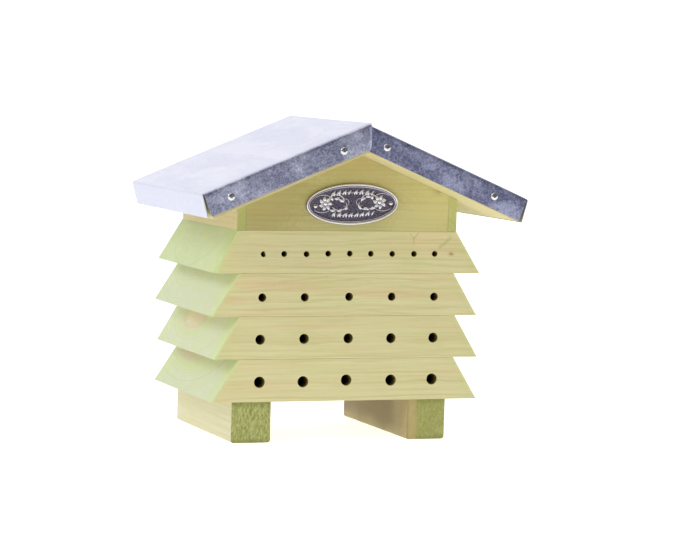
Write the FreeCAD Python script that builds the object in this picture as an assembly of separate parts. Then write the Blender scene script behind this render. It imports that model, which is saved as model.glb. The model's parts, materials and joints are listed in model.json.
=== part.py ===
import FreeCAD, Part
import math
import os

# Insect hotel: four drilled pine tiers with flared ends on two foot rails,
# a hollow pine attic and a two-pitch pine roof under folded zinc trays.
# Millimetres.  X runs along the tiers, the nest entrances face -Y, Z is up.
# The origin is the centre of the bounding box at floor level.

V = FreeCAD.Vector

# ---------------------------------------------------------------- dimensions
# tiers: solid planks, long grain along X, both ends sawn to a flare
TIER_H = 36.2
TIER_FRONT = -61.0
TIER_BACK = 105.0
FOOT_H = 35.0
# (bottom left, bottom right, top left, top right) ends of each plank in X
TIER_ENDS = [(-119.9, 121.0, -96.1, 98.7),
             (-118.3, 121.0, -96.9, 98.9),
             (-121.2, 119.0, -98.0, 96.7),
             (-118.8, 120.8, -100.5, 97.7)]
TOP_TIER_BACK_TL = -96.4       # the top tier's left end is sawn out of wind: its back top corner

# nest tunnels, blind, drilled by hand from the front: radius and the (x, z)
# places along each tier
TUNNEL_DEPTH = 130.0
TUNNELS = [(4.75, ((-77.7, 51.9), (-38.8, 51.8), (0.3, 52.7), (41.0, 52.1), (78.9, 52.5))),
           (4.25, ((-78.0, 87.9), (-38.8, 88.3), (1.1, 88.4), (40.1, 88.2), (79.0, 88.3))),
           (3.50, ((-77.1, 123.4), (-39.2, 123.5), (0.8, 123.9), (39.7, 123.8), (78.8, 123.6))),
           (2.50, ((-76.9, 160.0), (-58.7, 160.2), (-38.7, 160.1), (-19.2, 160.5), (0.3, 160.6),
                   (19.4, 160.5), (39.0, 160.4), (59.0, 160.4), (78.2, 160.5)))]

# foot rails
FOOT_LEFT = (-101.0, -65.7)
FOOT_RIGHT = (57.9, 93.2)
FOOT_FRONT = -58.2
FOOT_BACK = 94.8
FOOT_EDGE_R = 2.5

# attic box
ATTIC_Z = FOOT_H + 4 * TIER_H
ATTIC_LEFT = -101.2
ATTIC_RIGHT = 97.6
ATTIC_SIDE_T = 8.0
GABLE_T = 18.0
ATTIC_BACK = 90.0              # the attic box stops short of the tiers' back, under the roof

# roof boards
PITCH = math.radians(22.5)
ROOF_UNDER_Z = 247.6           # underside at the ridge
BOARD_T = 20.5
BOARD_HALF = 143.4             # ridge to the top arris at the eave, in X
BOARD_FRONT = -101.7
BOARD_BACK = 99.6

# zinc trays
SHEET_T = 0.7
TRAY_HALF = 146.0              # ridge to the eave fold, in X
TRAY_FLAP = 20.4               # height of the folded flaps, square to the slope
TRAY_LIFT = 1.8                # the lapping tray rides this much above the other
EAVE_FLAP_OPEN = math.radians(7.5)
LAP_FRONT_Y = -103.1           # outer face of the lapping tray's front flap
LAP_BACK_Y = 101.0
LAP_SLOPE = 12.0               # ridge flange under the lap
LAP_END_X = 0.5
FLAP_END_GAP = 1.3

# pan head screws that hold the trays: (x, z, turn of the cross recess)
TRAY_SCREWS_LEFT = [(-121.0, 210.3, 12.0), (-23.6, 249.1, 40.0)]
TRAY_SCREWS_RIGHT = [(14.9, 252.5, 5.0), (113.8, 212.6, 62.0)]
TRAY_SCREW_D = 2.9
TRAY_SCREW_L = 19.0
TRAY_HEAD_D = 6.6
TRAY_HEAD_H = 1.9

# oval plaque
PLAQUE_W = 83.0
PLAQUE_H = 34.8
PLAQUE_T = 1.6
PLAQUE_RIM_W = 2.0
PLAQUE_RIM_H = 0.9
PLAQUE_X = 0.9
PLAQUE_Z = 202.6
PLAQUE_TILT = 2.0              # degrees, right end up
PLAQUE_PINS = [(-32.6, 200.8), (35.6, 203.8)]
PIN_D = 1.6
PIN_L = 14.0
PIN_HEAD_D = 3.4

# countersunk wood screws
SCREW_D = 4.0
SCREW_HEAD_D = 8.0

TAN = math.tan(PITCH)
COS = math.cos(PITCH)
SIN = math.sin(PITCH)


# ------------------------------------------------------------------- helpers
def prism_y(points, y0, y1):
    """Closed outline in the XZ plane, run from y0 to y1."""
    pts = [V(x, y0, z) for x, z in points]
    face = Part.Face(Part.makePolygon(pts + [pts[0]]))
    return face.extrude(V(0, y1 - y0, 0))


def revolved(profile):
    """Half section (radius, height) turned about Z."""
    pts = [V(r, 0, h) for r, h in profile]
    face = Part.Face(Part.makePolygon(pts + [pts[0]]))
    return face.revolve(V(0, 0, 0), V(0, 0, 1), 360)


def placed(shape, point, direction):
    """Shape built along +Z, turned so that +Z points along direction."""
    rot = FreeCAD.Rotation(V(0, 0, 1), V(*direction))
    s = shape.copy()
    s.Placement = FreeCAD.Placement(V(*point), rot)
    return s


def wood_screw(point, direction, length, d=SCREW_D, head=SCREW_HEAD_D, cross=False):
    """Countersunk screw, head face at point, shank along direction."""
    hc = (head - d) / 2.0
    s = revolved([(0, 0), (head / 2.0, 0), (head / 2.0, 0.4), (d / 2.0, 0.4 + hc),
                  (d / 2.0, length - d), (0, length)])
    cut = s
    if cross:
        a = Part.makeBox(head * 0.56, 1.0, 1.6, V(-head * 0.28, -0.5, 0))
        b = Part.makeBox(1.0, head * 0.56, 1.6, V(-0.5, -head * 0.28, 0))
        s = s.cut(a.fuse(b))
    return placed(s, point, direction), placed(cut, point, direction)


def pan_screw(point, direction, turn):
    """Domed head outside point, shank along direction, cross recess."""
    r, h = TRAY_HEAD_D / 2.0, TRAY_HEAD_H
    dome = []
    steps = 9
    for i in range(steps + 1):
        a = math.pi / 2 * i / steps
        dome.append((r * math.cos(a) ** 0.75, -h * (0.25 + 0.75 * math.sin(a))))
    dome[-1] = (0, -h)
    prof = [(r, 0)] + dome + [(0, TRAY_SCREW_L), (TRAY_SCREW_D / 2.0, TRAY_SCREW_L - 3.0),
                              (TRAY_SCREW_D / 2.0, 0)]
    s = revolved(prof)
    plain = s
    a = Part.makeBox(3.4, 0.9, 1.5, V(-1.7, -0.45, -h - 0.1))
    b = Part.makeBox(0.9, 3.4, 1.5, V(-0.45, -1.7, -h - 0.1))
    c = a.fuse(b)
    c.rotate(V(0, 0, 0), V(0, 0, 1), turn)
    s = s.cut(c)
    return placed(s, point, direction), placed(plain, point, direction)


def solids_of(shape):
    return list(shape.Solids)


def group(shapes):
    out = []
    for s in shapes:
        out += solids_of(s)
    return Part.makeCompound(out)


def single(shape, name):
    s = shape.removeSplitter()
    if len(s.Solids) != 1:
        raise RuntimeError("%s has %d solids" % (name, len(s.Solids)))
    return s.Solids[0]


def under_z(x):
    return ROOF_UNDER_Z - abs(x) * TAN


def round_edges_y(shape, r, keep):
    """Round the edges that run along Y where keep(x, z) is true."""
    es = []
    for e in shape.Edges:
        a, b = e.Vertexes[0].Point, e.Vertexes[-1].Point
        if abs(a.x - b.x) < 1e-6 and abs(a.z - b.z) < 1e-6 and abs(a.y - b.y) > 10 and keep(a.x, a.z):
            es.append(e)
    return shape.makeFillet(r, es)


# --------------------------------------------------------------------- tiers
tiers = []
for i, (bl, br, tl, tr) in enumerate(TIER_ENDS):
    z0 = FOOT_H + i * TIER_H
    z1 = z0 + TIER_H
    body = prism_y([(bl, z0), (br, z0), (tr, z1), (tl, z1)], TIER_FRONT, TIER_BACK)
    r, places = TUNNELS[i]
    for x, z in places:
        body = body.cut(Part.makeCylinder(r, TUNNEL_DEPTH, V(x, TIER_FRONT, z), V(0, 1, 0)))
    tiers.append(body)

# the top tier's left end: a wedge is off at the back, from the front top corner
# and the back bottom corner to the back top corner
top_z3 = FOOT_H + 4 * TIER_H
wedge = [V(TIER_ENDS[3][2], TIER_FRONT, top_z3), V(TIER_ENDS[3][0], TIER_BACK, top_z3 - TIER_H), V(TOP_TIER_BACK_TL, TIER_BACK, top_z3)]
middle = (wedge[0] + wedge[1] + wedge[2]) * (1.0 / 3.0)
base = [middle + (p - middle) * 3.0 for p in wedge]
apex = middle + V(-80.0, 0, 60.0)
sides = [[base[0], base[1], base[2]], [base[0], base[1], apex], [base[1], base[2], apex], [base[2], base[0], apex]]
cutter = Part.makeSolid(Part.makeShell([Part.Face(Part.makePolygon(q + [q[0]])) for q in sides]))
if cutter.Volume < 0:
    cutter.reverse()
tiers[3] = tiers[3].cut(cutter)

# screws that hold each tier to the one below it, driven down from its top
tier_joint_screws = []
for i, (xs, ys) in enumerate([((-58.5, 59.5), (-36.0, 86.0)),
                              ((-58.5, 59.5), (-16.0, 76.0)),
                              ((-68.0, 68.6), (-36.0, 86.0))]):
    top = FOOT_H + (i + 2) * TIER_H
    out = []
    for x in xs:
        for y in ys:
            s, c = wood_screw((x, y, top), (0, 0, -1), 60.0)
            tiers[i + 1] = tiers[i + 1].cut(c)
            tiers[i] = tiers[i].cut(c)
            out.append(s)
    tier_joint_screws.append(out)

# ---------------------------------------------------------------------- feet
feet = []
for x0, x1 in (FOOT_LEFT, FOOT_RIGHT):
    f = Part.makeBox(x1 - x0, FOOT_BACK - FOOT_FRONT, FOOT_H, V(x0, FOOT_FRONT, 0))
    f = round_edges_y(f, FOOT_EDGE_R, lambda x, z: z < 1.0)
    feet.append(f)

foot_screws = []
for k, x in enumerate((-92.0, 67.0)):
    for y in (-34.0, 72.0):
        s, c = wood_screw((x, y, 0), (0, 0, 1), 60.0, d=4.5, head=9.0, cross=True)
        feet[k] = feet[k].cut(c)
        tiers[0] = tiers[0].cut(c)
        foot_screws.append(s)

# --------------------------------------------------------------------- attic
gx0 = ATTIC_LEFT + ATTIC_SIDE_T
gx1 = ATTIC_RIGHT - ATTIC_SIDE_T
gable_outline = [(gx0, ATTIC_Z), (gx1, ATTIC_Z), (gx1, under_z(gx1)), (0, under_z(0)), (gx0, under_z(gx0))]
gable_front = prism_y(gable_outline, TIER_FRONT, TIER_FRONT + GABLE_T)
gable_back = prism_y(gable_outline, ATTIC_BACK - GABLE_T, ATTIC_BACK)
side_left = prism_y([(ATTIC_LEFT, ATTIC_Z), (gx0, ATTIC_Z), (gx0, under_z(gx0)), (ATTIC_LEFT, under_z(ATTIC_LEFT))],
                    TIER_FRONT, ATTIC_BACK)
side_right = prism_y([(gx1, ATTIC_Z), (ATTIC_RIGHT, ATTIC_Z), (ATTIC_RIGHT, under_z(ATTIC_RIGHT)), (gx1, under_z(gx1))],
                     TIER_FRONT, ATTIC_BACK)

# screws driven up through the top tier into the gable boards' lower edges
attic_screws = []
for x in (-48.6, 49.0):
    for y in (TIER_FRONT + GABLE_T / 2.0, ATTIC_BACK - GABLE_T / 2.0):
        s, c = wood_screw((x, y, FOOT_H + 3 * TIER_H), (0, 0, 1), 55.0)
        tiers[3] = tiers[3].cut(c)
        if y < 0:
            gable_front = gable_front.cut(c)
        else:
            gable_back = gable_back.cut(c)
        attic_screws.append(s)

# ---------------------------------------------------------------- roof boards
top_z = ROOF_UNDER_Z + BOARD_T / COS
eave = (BOARD_HALF, top_z - BOARD_HALF * TAN)
eave_low = (eave[0] - BOARD_T * SIN, eave[1] - BOARD_T * COS)
right_outline = [(0, ROOF_UNDER_Z), eave_low, eave, (0, top_z)]
board_right = prism_y(right_outline, BOARD_FRONT, BOARD_BACK)
board_left = prism_y([(-x, z) for x, z in right_outline], BOARD_FRONT, BOARD_BACK)

roof_board_screws = []
for side in (-1, 1):
    for xt in (34.0, 84.0):
        for y in (TIER_FRONT + GABLE_T / 2.0, ATTIC_BACK - GABLE_T / 2.0):
            p = (side * xt, y, top_z - xt * TAN)
            s, c = wood_screw(p, (-side * SIN, 0, -COS), 38.0, d=3.5, head=7.0)
            if side < 0:
                board_left = board_left.cut(c)
            else:
                board_right = board_right.cut(c)
            if y < 0:
                gable_front = gable_front.cut(c)
            else:
                gable_back = gable_back.cut(c)
            roof_board_screws.append(s)


# ----------------------------------------------------------------- zinc trays
def slope_point(side, z0, s, depth):
    """Point on a slope: s along it from the ridge, depth square below it."""
    x = s * COS - depth * SIN
    z = z0 - s * SIN - depth * COS
    return (side * x, z)


def eave_flap_outline(side, z0):
    """Flap folded down at the eave, standing a little open."""
    s1 = TRAY_HALF / COS
    ex, ez = slope_point(side, z0, s1, 0)
    a = PITCH - EAVE_FLAP_OPEN
    dx, dz = -side * math.sin(a), -math.cos(a)
    nx, nz = -side * math.cos(a), math.sin(a)
    return [(ex, ez), (ex + TRAY_FLAP * dx, ez + TRAY_FLAP * dz),
            (ex + TRAY_FLAP * dx + SHEET_T * nx, ez + TRAY_FLAP * dz + SHEET_T * nz),
            (ex + 1.2 * dx + SHEET_T * nx, ez + 1.2 * dz + SHEET_T * nz),
            slope_point(side, z0, s1 - 2.0, SHEET_T), slope_point(side, z0, s1 - 2.0, 0)]


z0_right = top_z + SHEET_T / COS
z0_left = z0_right + TRAY_LIFT / COS
s_eave = TRAY_HALF / COS
s_flap = s_eave - FLAP_END_GAP

# right tray: lies on its board, its ridge flange turns over the ridge
right_front = LAP_FRONT_Y + SHEET_T
right_back = LAP_BACK_Y - SHEET_T
z_in = z0_right - SHEET_T / COS
panel = prism_y([(0, z0_right), slope_point(1, z0_right, s_eave, 0), slope_point(1, z0_right, s_eave, SHEET_T), (0, z_in)],
                right_front, right_back)
flange = prism_y([(0, z0_right), (0, z_in), slope_point(-1, z0_right, LAP_SLOPE, SHEET_T), slope_point(-1, z0_right, LAP_SLOPE, 0)],
                 right_front, right_back)
low0 = z0_right - TRAY_FLAP / COS
flap_outline = [(0, z0_right), slope_point(1, z0_right, s_flap, 0), slope_point(1, z0_right, s_flap, TRAY_FLAP), (0, low0),
                (-LAP_SLOPE * COS, low0 - LAP_SLOPE * SIN), (-LAP_SLOPE * COS, z0_right - LAP_SLOPE * SIN)]
flaps = [prism_y(flap_outline, right_front, right_front + SHEET_T),
         prism_y(flap_outline, right_back - SHEET_T, right_back)]
eave_flap = prism_y(eave_flap_outline(1, z0_right), right_front + 0.6, right_back - 0.6)
tray_right = panel.fuse([flange] + flaps + [eave_flap])

# left tray: laps over the right one along the ridge and down both gables
z_in = z0_left - SHEET_T / COS
panel = prism_y([(LAP_END_X, z0_left + LAP_END_X * TAN), slope_point(-1, z0_left, s_eave, 0),
                 slope_point(-1, z0_left, s_eave, SHEET_T), (LAP_END_X, z_in + LAP_END_X * TAN)],
                LAP_FRONT_Y, LAP_BACK_Y)
low0 = z0_left - TRAY_FLAP / COS
flap_outline = [(LAP_END_X, z0_left + LAP_END_X * TAN), slope_point(-1, z0_left, s_flap, 0),
                slope_point(-1, z0_left, s_flap, TRAY_FLAP), (LAP_END_X, low0 + LAP_END_X * TAN)]
flaps = [prism_y(flap_outline, LAP_FRONT_Y, LAP_FRONT_Y + SHEET_T),
         prism_y(flap_outline, LAP_BACK_Y - SHEET_T, LAP_BACK_Y)]
eave_flap = prism_y(eave_flap_outline(-1, z0_left), LAP_FRONT_Y + 0.6, LAP_BACK_Y - 0.6)
tray_left = panel.fuse(flaps + [eave_flap])

# pan head screws through the flaps into the boards' edges
tray_screws_front, tray_screws_rear = [], []
for side, rows in ((-1, TRAY_SCREWS_LEFT), (1, TRAY_SCREWS_RIGHT)):
    for x, z, turn in rows:
        yf = LAP_FRONT_Y if side < 0 else right_front
        yb = LAP_BACK_Y if side < 0 else right_back
        for y, d, out in ((yf, 1, tray_screws_front), (yb, -1, tray_screws_rear)):
            s, c = pan_screw((x, y, z), (0, d, 0), turn)
            if side < 0:
                tray_left = tray_left.cut(c)
                board_left = board_left.cut(c)
            else:
                tray_right = tray_right.cut(c)
                board_right = board_right.cut(c)
            out.append(s)

# --------------------------------------------------------------------- plaque
def ellipse_disc(w, h, t, y_back):
    e = Part.Ellipse(V(0, 0, 0), w / 2.0, h / 2.0)
    face = Part.Face(Part.Wire(e.toShape()))
    s = face.extrude(V(0, 0, t))
    # built flat in XY, stood up so that its face looks to -Y
    s.rotate(V(0, 0, 0), V(1, 0, 0), 90)
    s.translate(V(0, y_back, 0))
    return s


plaque = ellipse_disc(PLAQUE_W, PLAQUE_H, PLAQUE_T + PLAQUE_RIM_H, 0)
plaque = plaque.cut(ellipse_disc(PLAQUE_W - 2 * PLAQUE_RIM_W, PLAQUE_H - 2 * PLAQUE_RIM_W, PLAQUE_RIM_H + 1.0, -PLAQUE_T))
# leaf-and-flower relief, plain: a domed flower boss between two leaf sprays
boss = Part.makeCylinder(5.0, PLAQUE_T + 0.8, V(0, 0, 0), V(0, -1, 0))
plaque = plaque.fuse(boss)
plaque.rotate(V(0, 0, 0), V(0, 1, 0), -PLAQUE_TILT)
plaque.translate(V(PLAQUE_X, TIER_FRONT, PLAQUE_Z))

plaque_pins = []
for x, z in PLAQUE_PINS:
    y = TIER_FRONT - PLAQUE_T
    r = PIN_HEAD_D / 2.0
    pin = revolved([(0, -0.9), (r * 0.55, -0.8), (r * 0.85, -0.5), (r, 0), (PIN_D / 2.0, 0), (PIN_D / 2.0, PIN_L - 1.6), (0, PIN_L)])
    pin = placed(pin, (x, y, z), (0, 1, 0))
    plaque = plaque.cut(pin)
    gable_front = gable_front.cut(pin)
    plaque_pins.append(pin)

# --------------------------------------------------------------------- export
nodes = {
    "tier_block_bottom": single(tiers[0], "tier_block_bottom"),
    "tier_block_lower": single(tiers[1], "tier_block_lower"),
    "tier_block_upper": single(tiers[2], "tier_block_upper"),
    "tier_block_top": single(tiers[3], "tier_block_top"),
    "foot_rail_left": single(feet[0], "foot_rail_left"),
    "foot_rail_right": single(feet[1], "foot_rail_right"),
    "foot_screws": group(foot_screws),
    "tier_screws_lower": group(tier_joint_screws[0]),
    "tier_screws_middle": group(tier_joint_screws[1]),
    "tier_screws_upper": group(tier_joint_screws[2]),
    "attic_screws": group(attic_screws),
    "gable_board_front": single(gable_front, "gable_board_front"),
    "gable_board_back": single(gable_back, "gable_board_back"),
    "attic_side_left": single(side_left, "attic_side_left"),
    "attic_side_right": single(side_right, "attic_side_right"),
    "roof_board_left": single(board_left, "roof_board_left"),
    "roof_board_right": single(board_right, "roof_board_right"),
    "roof_board_screws": group(roof_board_screws),
    "zinc_tray_left": single(tray_left, "zinc_tray_left"),
    "zinc_tray_right": single(tray_right, "zinc_tray_right"),
    "tray_screws_front": group(tray_screws_front),
    "tray_screws_rear": group(tray_screws_rear),
    "oval_plaque": single(plaque, "oval_plaque"),
    "plaque_pins": group(plaque_pins),
}

os.makedirs("parts", exist_ok=True)
for name, shape in nodes.items():
    if not shape.isValid():
        raise RuntimeError(name + " is not valid")
    shape.exportStep(os.path.join("parts", name + ".step"))
box = FreeCAD.BoundBox()
for name, shape in nodes.items():
    box.add(shape.BoundBox)
    print("%-20s %2d solids  %10.1f mm3" % (name, len(shape.Solids), shape.Volume))
print("box", [round(v, 2) for v in (box.XMin, box.XMax, box.YMin, box.YMax, box.ZMin, box.ZMax)])
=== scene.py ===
import bpy
import bmesh
import json
import math
from mathutils import Matrix, Vector, noise

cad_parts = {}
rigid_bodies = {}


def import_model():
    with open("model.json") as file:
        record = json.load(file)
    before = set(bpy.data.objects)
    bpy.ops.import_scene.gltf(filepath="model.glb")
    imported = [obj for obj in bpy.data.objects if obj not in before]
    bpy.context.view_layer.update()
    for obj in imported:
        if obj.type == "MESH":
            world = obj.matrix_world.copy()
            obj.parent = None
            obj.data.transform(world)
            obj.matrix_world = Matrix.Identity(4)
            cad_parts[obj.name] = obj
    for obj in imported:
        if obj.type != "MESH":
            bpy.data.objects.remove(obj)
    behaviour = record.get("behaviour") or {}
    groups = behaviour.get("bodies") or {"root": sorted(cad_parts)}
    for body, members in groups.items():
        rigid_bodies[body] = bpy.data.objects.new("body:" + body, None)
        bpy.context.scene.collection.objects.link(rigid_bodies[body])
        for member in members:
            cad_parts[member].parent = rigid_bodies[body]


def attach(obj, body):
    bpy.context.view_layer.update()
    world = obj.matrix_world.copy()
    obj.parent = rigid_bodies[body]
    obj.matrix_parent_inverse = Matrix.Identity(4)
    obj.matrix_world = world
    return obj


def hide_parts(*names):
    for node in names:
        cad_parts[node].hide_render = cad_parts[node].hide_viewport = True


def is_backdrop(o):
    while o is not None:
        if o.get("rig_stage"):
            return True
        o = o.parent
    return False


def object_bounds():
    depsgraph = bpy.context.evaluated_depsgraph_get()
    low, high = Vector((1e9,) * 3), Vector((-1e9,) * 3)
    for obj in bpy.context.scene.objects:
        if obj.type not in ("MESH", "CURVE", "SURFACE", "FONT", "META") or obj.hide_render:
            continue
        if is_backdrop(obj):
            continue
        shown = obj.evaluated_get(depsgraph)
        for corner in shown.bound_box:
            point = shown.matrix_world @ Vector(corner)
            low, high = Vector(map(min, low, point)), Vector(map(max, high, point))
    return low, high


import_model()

cad_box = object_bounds()

# All lengths below are in millimetres in the part's own frame; K turns them into metres.
K = 0.001

# ------------------------------------------------------------------ the part's dimensions
TIER_H, FOOT_H = 36.2, 35.0
FRONT, BACK = -61.0, 105.0
TIER_ENDS = [(-119.9, 121.0, -96.1, 98.7), (-118.3, 121.0, -96.9, 98.9),
             (-121.2, 119.0, -98.0, 96.7), (-118.8, 120.8, -100.5, 97.7)]
TOP_TIER_BACK_TL = -96.4
TUNNEL_DEPTH = 130.0
TUNNELS = [(4.75, ((-77.7, 51.9), (-38.8, 51.8), (0.3, 52.7), (41.0, 52.1), (78.9, 52.5))),
           (4.25, ((-78.0, 87.9), (-38.8, 88.3), (1.1, 88.4), (40.1, 88.2), (79.0, 88.3))),
           (3.50, ((-77.1, 123.4), (-39.2, 123.5), (0.8, 123.9), (39.7, 123.8), (78.8, 123.6))),
           (2.50, ((-76.9, 160.0), (-58.7, 160.2), (-38.7, 160.1), (-19.2, 160.5), (0.3, 160.6),
                   (19.4, 160.5), (39.0, 160.4), (59.0, 160.4), (78.2, 160.5)))]
FOOT_LEFT, FOOT_RIGHT = (-101.0, -65.7), (57.9, 93.2)
FOOT_FRONT, FOOT_BACK, FOOT_R = -58.2, 94.8, 2.5
ATTIC_Z = FOOT_H + 4 * TIER_H
ATTIC_LEFT, ATTIC_RIGHT, SIDE_T, GABLE_T = -101.2, 97.6, 8.0, 18.0
ATTIC_BACK = 90.0
PITCH = math.radians(22.5)
TAN, COS, SIN = math.tan(PITCH), math.cos(PITCH), math.sin(PITCH)
UNDER_Z, BOARD_T, BOARD_HALF = 247.6, 20.5, 143.4
BOARD_FRONT, BOARD_BACK = -101.7, 99.6
SHEET, TRAY_HALF, TRAY_FLAP, TRAY_LIFT = 0.7, 146.0, 20.4, 1.8
FLAP_OPEN = math.radians(7.5)
LAP_FRONT, LAP_BACK, LAP_SLOPE, LAP_END_X, FLAP_GAP = -103.1, 101.0, 12.0, 0.5, 1.3
TRAY_SCREWS = [(-1, -121.0, 210.3, 12.0), (-1, -23.6, 249.1, 40.0), (1, 14.9, 252.5, 5.0), (1, 113.8, 212.6, 62.0)]
PLAQUE_W, PLAQUE_H, PLAQUE_T, PLAQUE_RIM = 83.0, 34.8, 1.6, 0.9
PLAQUE_X, PLAQUE_Z, PLAQUE_TILT = 0.9, 202.6, math.radians(2.0)
PLAQUE_PINS = [(-32.6, 200.8), (35.6, 203.8)]

TOP_Z = UNDER_Z + BOARD_T / COS
Z_RIGHT = TOP_Z + SHEET / COS
Z_LEFT = Z_RIGHT + TRAY_LIFT / COS


def under_z(x):
    return UNDER_Z - abs(x) * TAN


# ------------------------------------------------------------------ mesh helpers
def wob(x, y, z, seed=0.0):
    """Smooth, repeatable noise between about -1 and 1."""
    return noise.noise(Vector((x + 17.3 * seed, y - 9.1 * seed, z + 31.7 * seed)))


def make_object(name, mesh, materials):
    obj = bpy.data.objects.new(name, mesh)
    bpy.context.scene.collection.objects.link(obj)
    for m in materials:
        mesh.materials.append(m)
    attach(obj, "root")
    return obj


def applied(obj):
    """Bake an object's modifiers into its mesh."""
    deps = bpy.context.evaluated_depsgraph_get()
    deps.update()
    new = bpy.data.meshes.new_from_object(obj.evaluated_get(deps), preserve_all_data_layers=True, depsgraph=deps)
    old = obj.data
    obj.modifiers.clear()
    obj.data = new
    bpy.data.meshes.remove(old)
    return obj


def soft_normals(obj, angle=38.0):
    """Smooth shading with true flats: sharp past the angle, large faces lead."""
    obj.data.shade_smooth()
    obj.data.set_sharp_from_angle(angle=math.radians(angle))
    m = obj.modifiers.new("wn", "WEIGHTED_NORMAL")
    m.mode = "FACE_AREA"
    m.weight = 60
    m.keep_sharp = True
    applied(obj)


def scaled_mesh(bm, name):
    for v in bm.verts:
        v.co *= K
    me = bpy.data.meshes.new(name)
    bm.to_mesh(me)
    bm.free()
    return me


def tunnel_cutter(r, x, z, seed, ragged=0.0):
    """A drilled hole: round wall, a slightly broken mouth and a drill-point end."""
    bm = bmesh.new()
    n = 48
    rings = []
    for k, (y, grow) in enumerate(((-3.0, 0.16), (0.0, 0.13), (0.3, 0.0), (TUNNEL_DEPTH - r * 0.45, 0.0))):
        ring = []
        for i in range(n):
            a = 2 * math.pi * i / n
            rr = r + grow * (0.7 + 0.6 * wob(math.cos(a) * 2.2, math.sin(a) * 2.2, 0.0, seed))
            rr += 0.05 * wob(math.cos(a) * 4, math.sin(a) * 4, 3.0, seed + 5)
            if ragged and k < 3:
                # splinters left standing across the mouth
                rr -= ragged * r * max(0.0, math.cos(a - 0.25)) ** 2 * (0.75 + 0.5 * wob(a * 2.0, 0, 0, seed))
            ring.append(bm.verts.new((x + rr * math.cos(a), FRONT + y, z + rr * math.sin(a))))
        rings.append(ring)
    for a, b in zip(rings, rings[1:]):
        for i in range(n):
            bm.faces.new((a[i], a[(i + 1) % n], b[(i + 1) % n], b[i]))
    tip = bm.verts.new((x, FRONT + TUNNEL_DEPTH, z))
    for i in range(n):
        bm.faces.new((rings[-1][i], rings[-1][(i + 1) % n], tip))
    bm.faces.new(rings[0])
    bmesh.ops.recalc_face_normals(bm, faces=bm.faces)
    return bm


def plank(name, outline, y0, y1, nodes, materials, bevel=0.6, wear=0.18, step=(7.0, 9.0), holes=(), flat=0.05,
          seed=0.0, end_bevel=0.0, worn=None, skew=None):
    """A sawn and planed board: outline in the XZ plane run from y0 to y1, with softened, slightly worn arrises.

    step is the spacing of the cuts across X and Y that let the arrises wander; worn(x, y, z) scales the wear.
    """
    bm = bmesh.new()
    a = [bm.verts.new((x, y0, z)) for x, z in outline]
    b = [bm.verts.new((x, y1, z)) for x, z in outline]
    n = len(outline)
    bm.faces.new(a)
    bm.faces.new(list(reversed(b)))
    for i in range(n):
        bm.faces.new((a[i], b[i], b[(i + 1) % n], a[(i + 1) % n]))
    bmesh.ops.recalc_face_normals(bm, faces=bm.faces)
    bm.normal_update()
    def leaning(e):
        d = e.verts[0].co - e.verts[1].co
        return abs(d.y) < 1e-6 and abs(d.x) > 5 and abs(d.z) > 5

    if end_bevel:
        edges = [e for e in bm.edges if leaning(e)]
        bmesh.ops.bevel(bm, geom=edges, offset=end_bevel, segments=3, profile=0.5, affect="EDGES", clamp_overlap=True)
    edges = [e for e in bm.edges if e.calc_face_angle(0) > math.radians(38)]
    bmesh.ops.bevel(bm, geom=edges, offset=bevel, segments=2 if end_bevel else 3, profile=0.5, affect="EDGES", clamp_overlap=True)
    lo = [min(v.co[i] for v in bm.verts) for i in range(3)]
    hi = [max(v.co[i] for v in bm.verts) for i in range(3)]
    for axis, gap in ((0, step[0]), (1, step[1])):
        cuts = int((hi[axis] - lo[axis]) / gap)
        for k in range(1, cuts):
            co = [0.0, 0.0, 0.0]
            co[axis] = lo[axis] + (hi[axis] - lo[axis]) * k / cuts
            no = [0.0, 0.0, 0.0]
            no[axis] = 1.0
            bmesh.ops.bisect_plane(bm, geom=bm.verts[:] + bm.edges[:] + bm.faces[:], dist=1e-5, plane_co=co, plane_no=no)
    bm.normal_update()
    moves = []
    for v in bm.verts:
        turned = max((f.normal.angle(v.normal, 0.0) for f in v.link_faces), default=0.0)
        edge = min(1.0, turned / math.radians(12.0))
        p = v.co
        amount = edge * wear * (0.45 + 0.9 * wob(p.x * 0.09, p.y * 0.09, p.z * 0.09, seed) + 0.5 * wob(p.x * 0.4, p.y * 0.4, p.z * 0.4, seed + 2))
        if worn:
            amount *= worn(p.x, p.y, p.z)
        amount = max(amount, 0.0) + flat * (1 - edge) * (0.5 + 0.5 * wob(p.x * 0.02, p.y * 0.02, p.z * 0.05, seed + 7))
        moves.append(v.normal * -amount)
    for v, m in zip(bm.verts, moves):
        v.co += m
    if skew:
        for v in bm.verts:
            v.co += Vector(skew(v.co.x, v.co.y, v.co.z))
    me = scaled_mesh(bm, name)
    obj = make_object(name, me, materials)
    if holes:
        cut = bmesh.new()
        for k, (r, x, z, ragged) in enumerate(holes):
            one = tunnel_cutter(r, x, z, seed * 10 + k + 1, ragged)
            tmp = bpy.data.meshes.new("tmp")
            one.to_mesh(tmp)
            one.free()
            cut.from_mesh(tmp)
            bpy.data.meshes.remove(tmp)
        cutter = bpy.data.objects.new("cutter", scaled_mesh(cut, "cutter"))
        bpy.context.scene.collection.objects.link(cutter)
        m = obj.modifiers.new("holes", "BOOLEAN")
        m.operation, m.solver, m.object = "DIFFERENCE", "EXACT", cutter
        applied(obj)
        spare = cutter.data
        bpy.data.objects.remove(cutter)
        bpy.data.meshes.remove(spare)
        for p in obj.data.polygons:
            c = p.center / K
            p.material_index = 0
            if (abs(p.normal.y) < 0.4 or c.y > y0 + 100) and y0 + 0.2 < c.y < y1 - 5:
                for r, x, z, _ in holes:
                    if math.hypot(c.x - x, c.z - z) < r + 0.1:
                        p.material_index = 1
                        break
    soft_normals(obj)
    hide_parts(*nodes)
    return obj


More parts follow.
